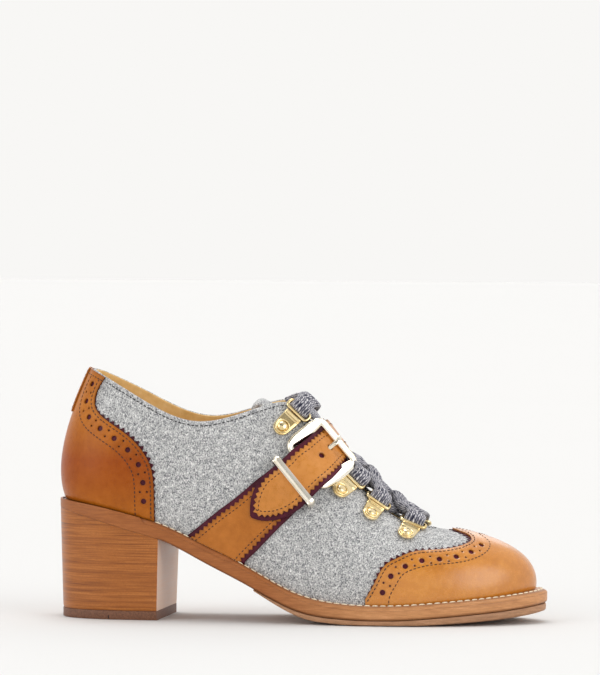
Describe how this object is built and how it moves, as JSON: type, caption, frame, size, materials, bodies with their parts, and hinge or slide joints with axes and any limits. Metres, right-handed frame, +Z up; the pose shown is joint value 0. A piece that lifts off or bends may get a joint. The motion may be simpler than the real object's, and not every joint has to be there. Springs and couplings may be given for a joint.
{
  "type": "mid heel shoe",
  "caption": "Wing-tip shoe in grey felt and tan leather with a hooked lace, a buckled instep strap, a welted sole and a stacked block heel.",
  "frame": {"origin": "on the floor under the middle of the shoe's box", "axes": "+X to the toe, +Y to the medial side, +Z up; the lateral side with the buckle is -Y"},
  "size_m": [0.243, 0.085, 0.1247],
  "materials": {
    "felt": "grey melange wool felt, matt",
    "tan_leather": "smooth tan, waxed",
    "sole_leather": "stacked edge, satin",
    "heel_stack": "stacked layers, waxed",
    "lift_rubber": "matt brown",
    "lining_leather": "honey lining, matt",
    "gold_metal": "polished pale gold",
    "lace_yarn": "woven melange yarn, matt"
  },
  "bodies": {
    "root": {"buckle_frame": "gold_metal", "buckle_prong": "gold_metal", "half_sole": "sole_leather", "heel_block": "heel_stack", "heel_counter": "tan_leather", "heel_tab": "tan_leather", "insole": "lining_leather", "lace_cross_1": "lace_yarn", "lace_cross_2": "lace_yarn", "lace_cross_3": "lace_yarn", "lace_hook_lateral_1": "gold_metal", "lace_hook_lateral_2": "gold_metal", "lace_hook_lateral_3": "gold_metal", "lace_hook_lateral_4": "gold_metal", "lace_hook_medial_1": "gold_metal", "lace_hook_medial_2": "gold_metal", "lace_hook_medial_3": "gold_metal", "lace_hook_medial_4": "gold_metal", "outsole": "sole_leather", "strap_base": "tan_leather", "strap_billet": "tan_leather", "strap_keeper": "gold_metal", "toe_cap": "tan_leather", "tongue": "felt", "top_lift": "lift_rubber", "upper": "felt", "welt": "sole_leather"}
  },
  "joints": []
}
